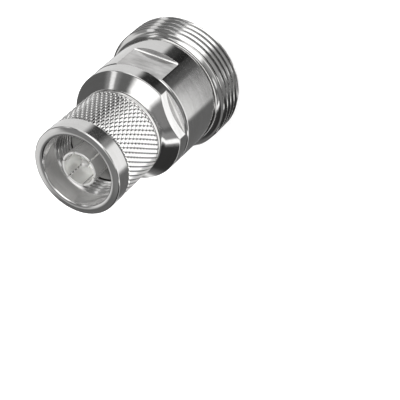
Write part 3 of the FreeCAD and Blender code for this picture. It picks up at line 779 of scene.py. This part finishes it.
# What polished metal mirrors, by direction in degrees. Each panel lies over those before it:
# azimuth, half its width, fade, elevation, half its height, fade, brightness.
STUDIO_BASE = 0.2
STUDIO_PANELS = (
    # pale table all around, up to near the horizon
    (0, 180, 1, -50, 34, 8, 1.08),
    # it falls off on the side away from the lamps
    (-80, 50, 22, -60, 42, 16, 0.2),
    # paler strips of it there
    (-115, 16, 10, -37.3, 6, 1.2, 1.5),
    (-62, 34, 12, -24, 8, 5, 1.6),
    (-50, 35, 14, -38, 3, 3, 0.85),
    # nearer strip of table in front, less lit than what lies behind it
    (20, 32, 15, -75, 25.9, 1.2, 0.32),
    (14, 24, 12, -43.5, 3, 1.5, 1.4),
    # far strip of table, close to the lamps, and its dull end
    (42, 72, 12, -19, 13, 4, 2.4),
    (180, 45, 12, -22, 13, 5, 0.45),
    # strips that the faces of the knurl's diamonds mirror: bright in its middle, dull at its upper left
    (38, 62, 14, -36, 3.5, 3.5, 1.9),
    (170, 30, 16, -39, 3, 2.5, 0.5),
    # thin strip in the plug's flat
    (6, 22, 8, -47.1, 0.7, 0.4, 1.5),
    # shade of the camera, on the table that the flats and the barrel mirror
    (46, 6, 30, -54, 5.2, 1.5, 0.2),
    (60, 6, 14, -52, 5, 6, 0.15),
    (88, 12, 20, -52, 6, 8, 0.03),
    (102, 4, 14, -54, 5.2, 1.5, 0.08),
    # low walls, and a light at the foot of one
    (110, 40, 15, 12, 8, 8, 0.4),
    (114, 9, 5, 2, 9, 4, 1.6),
    (-172, 32, 10, -4, 20, 6, 0.17),
    # dark side of the room
    (-10, 60, 14, 10, 11, 5, 0.05),
    (-62, 16, 16, 22, 24, 8, 0.05),
    (-56, 14, 14, 42, 14, 6, 0.04),
    # ceiling, and paler walls under it
    (0, 180, 1, 90, 38, 8, 0.3),
    (0, 180, 1, 90, 15, 5, 1.3),
    (24, 24, 10, 42, 5, 5, 0.35),
    (20, 35, 15, 66, 8, 6, 0.5),
    (180, 40, 12, 31, 8, 5, 0.4),
    # lights high on the walls
    (-141, 10, 9, 33, 12, 8, 1.0),
    (-126, 4, 4, 40, 3, 3, 0.6),
    (-163, 16, 10, 32, 14, 6, 1.1),
    (120.5, 5, 4, 46.5, 3, 3, 1.4),
    (1, 8, 3, 49, 5, 2, 1.5),
    # main soft light over the camera, with its bounce above
    (80, 18, 20, 58, 21, 2.5, 2.4),
    (92, 26, 10, 72, 16, 6, 2.2),
    # narrow upright lights
    (-26, 8, 8, 27, 10, 6, 0.42),
    (-31, 2.6, 2.2, 25, 12, 4, 1.9),
    (144.6, 2.2, 3.5, 22, 12, 6, 1.5),
    (158, 3, 3, 44, 6, 4, 1.3),
)


def build_floor():
    """Floor just below the part, which glows a little for the camera so that it ends up white."""
    mesh = bpy.data.meshes.new("floor")
    reach = FLOOR_REACH
    mesh.from_pydata([(-reach, -reach, 0), (reach, -reach, 0), (reach, reach, 0), (-reach, reach, 0)], [],
                     [(0, 1, 2, 3)])
    floor = bpy.data.objects.new("floor", mesh)
    bpy.context.scene.collection.objects.link(floor)
    floor.location.z = -FLOOR_DROP
    material = bpy.data.materials.new("pale_floor")
    material.use_nodes = True
    nodes = Nodes(material.node_tree)
    material.node_tree.nodes.clear()
    place = nodes.add("ShaderNodeTexCoord").outputs["Object"]
    grain = nodes.noise(place, 40.0, 3.0)
    diffuse = nodes.add("ShaderNodeBsdfDiffuse")
    colour = nodes.ramp(grain, [(0.2, (0.80, 0.80, 0.80)), (0.8, (0.82, 0.82, 0.82))])
    nodes.join(colour, diffuse.inputs["Color"])
    glow = nodes.add("ShaderNodeEmission")
    path = nodes.add("ShaderNodeLightPath")
    nodes.join(nodes.math("MULTIPLY", path.outputs["Is Camera Ray"], FLOOR_GLOW), glow.inputs["Strength"])
    both = nodes.add("ShaderNodeAddShader")
    nodes.join(diffuse.outputs[0], both.inputs[0])
    nodes.join(glow.outputs[0], both.inputs[1])
    out = nodes.add("ShaderNodeOutputMaterial")
    nodes.join(both.outputs[0], out.inputs["Surface"])
    mesh.materials.append(material)
    floor.visible_glossy = False


def build_lamp(name, azimuth, elevation, distance, size, watts):
    data = bpy.data.lights.new(name, "AREA")
    data.shape = "DISK"
    data.size = size
    data.energy = watts
    lamp = bpy.data.objects.new(name, data)
    bpy.context.scene.collection.objects.link(lamp)
    way = Vector(direction(azimuth, elevation))
    lamp.location = way * distance + Vector((0, 0, LAMP_AIM))
    lamp.rotation_mode = "QUATERNION"
    lamp.rotation_quaternion = way.to_track_quat("Z", "Y")
    lamp.visible_glossy = False


def build_camera():
    data = bpy.data.cameras.new("camera")
    data.lens = CAMERA_LENS
    data.sensor_width = SENSOR_WIDTH
    data.clip_start = 0.01
    data.clip_end = 20.0
    camera = bpy.data.objects.new("camera", data)
    bpy.context.scene.collection.objects.link(camera)
    right = Vector(CAMERA_RIGHT).normalized()
    back = -Vector(CAMERA_FORWARD).normalized()
    up = back.cross(right).normalized()
    right = up.cross(back).normalized()
    turn = Matrix((right, up, back)).transposed()
    camera.rotation_mode = "QUATERNION"
    camera.rotation_quaternion = turn.to_quaternion()
    camera.location = Vector(CAMERA_PLACE) * MM
    bpy.context.scene.camera = camera


# Put it together.

def paint_inside(thing, material, reach, bottom):
    """Give a second material to the faces near the axis and above a level."""
    thing.data.materials.append(material)
    last = len(thing.data.materials) - 1
    for face in thing.data.polygons:
        x, y, z = face.center
        if math.hypot(x, y) < reach * MM and z > bottom * MM:
            face.material_index = last


def paint_flats(thing, material, distance, angle, bottom):
    """Give a second material to the faces that lie in the two wrench flats and on their ledges."""
    thing.data.materials.append(material)
    last = len(thing.data.materials) - 1
    across = math.cos(math.radians(angle))
    along = math.sin(math.radians(angle))
    for face in thing.data.polygons:
        x, y, z = face.center
        facing = abs(face.normal.x * across + face.normal.y * along)
        off_flat = abs(abs(x * across + y * along) - distance * MM)
        in_flat = facing > FLAT_FACING and off_flat < PAINT_REACH * MM
        on_ledge = face.normal.z > LEDGE_FACING and abs(z - bottom * MM) < PAINT_REACH * MM
        if in_flat or on_ledge:
            face.material_index = last


def dress(thing, material, slot, body, *nodes):
    """Give a piece its material and its body, and hide the solids that it stands for. The slot is not used.
    """
    thing.data.materials.clear()
    thing.data.materials.append(material)
    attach(thing, body)
    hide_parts(*nodes)
    return thing


def main():
    nickel = metal("bright_nickel", (0.72, 0.715, 0.71), (0.64, 0.635, 0.625), 0.05, 0.12, 0.12)
    # the nut's plating, with painted shade in the knurl's pits and grooves
    knurl_nickel = metal("nut_nickel", (0.74, 0.735, 0.73), (0.66, 0.655, 0.645), 0.05, 0.11, 0.08,
                         painted_knurl_shade=True)
    # the bore is a paler copy of the nut's plating: painted light inside the nut
    bore_nickel = metal("nut_bore", (0.92, 0.915, 0.91), (0.88, 0.875, 0.865), 0.12, 0.18, 0.0, mirror=0.8)
    thread_nickel = metal("nut_thread", (0.60, 0.595, 0.59), (0.52, 0.515, 0.51), 0.1, 0.16, 0.0,
                          mirror=0.9)
    # the jack's flats are painted darker and the plug's flats paler than the turned plating: painted shade
    # and painted light
    jack_flats = milled_with_painted_sheen("jack_flats", (0.60, 0.595, 0.59), (0.32, 0.315, 0.31), 0.08, 0.14, 0.7)
    plug_flats = milled_with_painted_sheen("plug_flats", (0.9, 0.895, 0.89), (0.76, 0.755, 0.745), 0.04, 0.07, 0.75)
    silver = metal("contact_silver", (0.80, 0.795, 0.785), (0.74, 0.735, 0.72), 0.14, 0.22, 0.0, mirror=0.7)
    bronze = metal("spring_bronze", (0.62, 0.42, 0.22), (0.50, 0.32, 0.16), 0.22, 0.36, 0.3)
    white = soft_material("white_fluoropolymer", (0.84, 0.84, 0.81), (0.76, 0.76, 0.73), 0.35, 0.5, 300.0,
                          scatter=0.05)
    grey = soft_material("grey_silicone", (0.34, 0.34, 0.33), (0.28, 0.28, 0.27), 0.45, 0.6, 500.0)
    black = soft_material("black_rubber", (0.03, 0.03, 0.03), (0.015, 0.015, 0.015), 0.45, 0.6, 500.0)

    jack = dress(build_jack_body(), nickel, "bright_nickel", "adapter", "jack_body")
    paint_flats(jack, jack_flats, JACK_FLAT_DISTANCE, JACK_FLAT_ANGLE, JACK_FLAT_BOTTOM)
    plug = dress(build_plug_body(), nickel, "bright_nickel", "adapter", "plug_body")
    paint_flats(plug, plug_flats, PLUG_FLAT_DISTANCE, PLUG_FLAT_ANGLE, PLUG_FLAT_BOTTOM)
    nut = dress(build_coupling_nut(), knurl_nickel, "nut_nickel", "nut", "coupling_nut")
    paint_inside(nut, thread_nickel, NUT_PAINT_RADIUS, NUT_PAINT_BOTTOM)
    paint_inside(nut, bore_nickel, NUT_PAINT_RADIUS, NUT_THREAD_PAINT_END)
    dress(build_contact(), silver, "silver_plated_contact", "adapter", "plug_outer_contact")
    dress(build_socket(), silver, "silver_plated_contact", "adapter", "jack_socket")
    dress(build_pin(), silver, "silver_plated_contact", "adapter", "plug_pin")
    dress(build_gasket(), grey, "grey_silicone", "adapter", "mating_gasket")
    plug_bead, jack_bead = build_beads()
    dress(plug_bead, white, "white_fluoropolymer", "adapter", "plug_insulator")
    dress(jack_bead, white, "white_fluoropolymer", "adapter", "jack_insulator")
    for node, material in (("body_o_ring", black), ("nut_retaining_ring", bronze)):
        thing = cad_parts[node]
        thing.data.materials.clear()
        thing.data.materials.append(material)

    build_world()
    build_floor()
    build_lamp("key_lamp", azimuth=120, elevation=60, distance=1.2, size=0.8, watts=14.0)
    build_lamp("fill_lamp", azimuth=-40, elevation=55, distance=1.4, size=1.0, watts=8.0)
    build_camera()
    bpy.context.scene.view_settings.view_transform = "Standard"


main()
